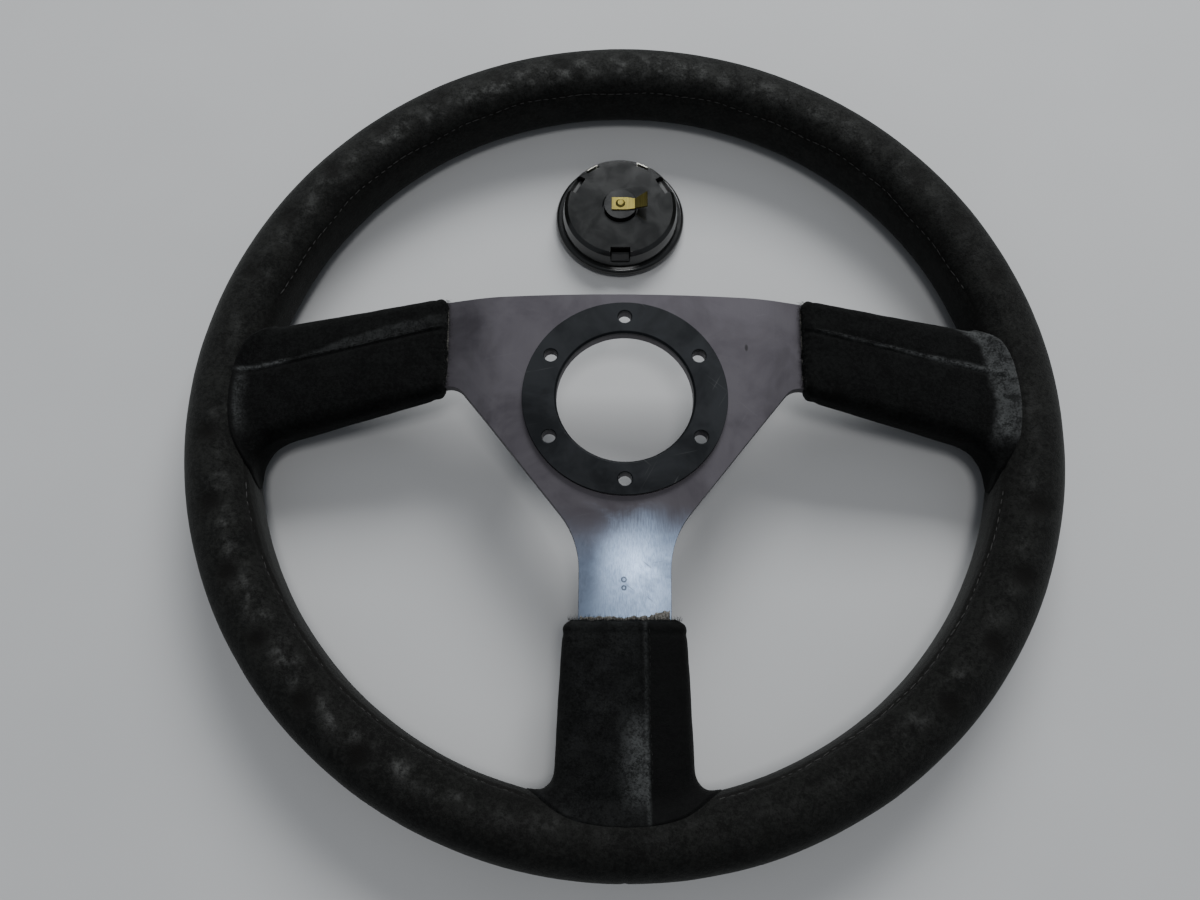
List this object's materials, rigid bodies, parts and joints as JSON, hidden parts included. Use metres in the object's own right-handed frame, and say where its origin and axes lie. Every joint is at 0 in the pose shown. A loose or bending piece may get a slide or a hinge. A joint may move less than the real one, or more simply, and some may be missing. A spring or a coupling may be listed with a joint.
{
  "type": "racing steering wheel",
  "caption": "Suede-wrapped racing steering wheel with a bent spoke plate, padded spokes, a bolt-on hub ring and a loose sprung horn button.",
  "frame": {"origin": "centre of the hub ring's rear mounting face, on the axis of the hub bolts", "axes": "+Z out of the rear of the wheel along the steering axis, +Y to twelve o'clock, +X to the right when seen from behind"},
  "size_m": [0.3648, 0.3648, 0.0394],
  "materials": {
    "anodised_plate": "satin",
    "black_ring": "satin",
    "steel": "satin",
    "rivet_alloy": "satin",
    "foam": "matte",
    "rim_suede": "matte",
    "pad_suede": "matte",
    "thread": "matte",
    "gloss_black": "gloss",
    "cap_black": "gloss",
    "badge_grey": "satin",
    "boss_black": "satin",
    "brass": "satin",
    "spring_tin": "satin"
  },
  "bodies": {
    "wheel": {"spoke_plate": "anodised_plate", "hub_ring": "black_ring", "rim_core": "steel", "rim_foam": "foam", "spoke_rivets": "rivet_alloy", "rim_cover_top": "rim_suede", "rim_cover_left": "rim_suede", "rim_cover_right": "rim_suede", "rim_stitching": "thread", "pad_foam_left": "foam", "pad_foam_right": "foam", "pad_foam_bottom": "foam", "pad_cover_left": "pad_suede", "pad_cover_right": "pad_suede", "pad_cover_bottom": "pad_suede", "pad_stitching": "thread"},
    "horn_button": {"horn_housing": "gloss_black", "horn_bezel": "gloss_black", "ground_ring": "brass", "bore_springs": "spring_tin", "terminal_boss": "boss_black", "horn_terminal": "brass", "terminal_rivet": "brass"},
    "horn_push": {"horn_cap": "cap_black", "cap_badge": "badge_grey", "contact_disc": "brass", "return_spring": "steel"}
  },
  "joints": [
    {"name": "button_lift", "type": "slide", "parent": "wheel", "child": "horn_button", "axis": [0, 0, 1], "range_m": [0, 0.06]},
    {"name": "horn_press", "type": "slide", "parent": "horn_button", "child": "horn_push", "axis": [0, 0, 1], "range_m": [0, 0.0015], "stiffness_N_per_m": 2500, "springref_m": -0.001, "deforming": ["return_spring"]}
  ]
}
